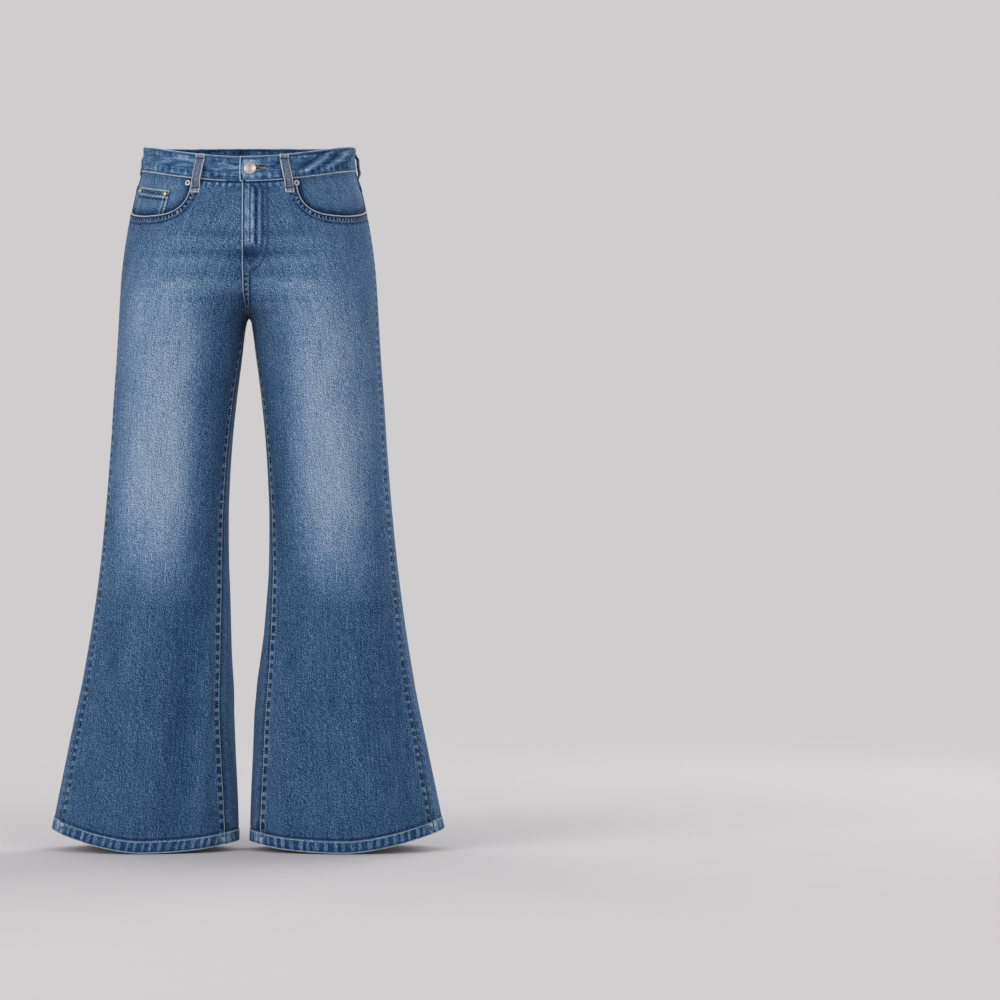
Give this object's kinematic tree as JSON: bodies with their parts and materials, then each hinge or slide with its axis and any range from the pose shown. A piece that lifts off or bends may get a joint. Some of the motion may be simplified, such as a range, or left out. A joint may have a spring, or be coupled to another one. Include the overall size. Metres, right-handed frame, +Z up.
{
  "type": "wide leg jeans",
  "caption": "Wide leg jeans in washed blue denim, hollow and filled out as worn: straight to the knee, flared to a curved hem, with waistband, fly, curved front pockets, back yoke and patch pockets",
  "frame": {"origin": "centre of the waist, half way up the waistband at the side, where the wearer's waist holds the garment", "axes": "+Z up to the waist, -Y to the front, +X to the wearer's left"},
  "size_m": [0.569, 0.2382, 1.0231],
  "materials": {
    "denim": "washed mid-blue denim twill",
    "denim_band": "washed mid-blue denim, streaked along the band",
    "denim_facing": "washed mid-blue denim twill",
    "zip": "woven tape with a closed metal chain",
    "nickel": "aged nickel, concentric rings",
    "brass": "satin"
  },
  "bodies": {
    "root": {"front_left": "denim", "front_right": "denim", "back_left": "denim", "back_right": "denim", "yoke_left": "denim", "yoke_right": "denim", "waistband": "denim_band", "pocket_facing_left": "denim_facing", "pocket_facing_right": "denim_facing", "coin_pocket": "denim", "back_pocket_left": "denim", "back_pocket_right": "denim", "fly_facing": "denim", "fly_shield": "denim", "fly_zip": "zip", "belt_loop_front_left": "denim_band", "belt_loop_front_right": "denim_band", "belt_loop_side_left": "denim_band", "belt_loop_side_right": "denim_band", "belt_loop_back": "denim_band", "button": "nickel", "rivet_left": "nickel", "rivet_right": "nickel", "coin_rivet_inner": "brass", "coin_rivet_outer": "brass"}
  },
  "joints": []
}
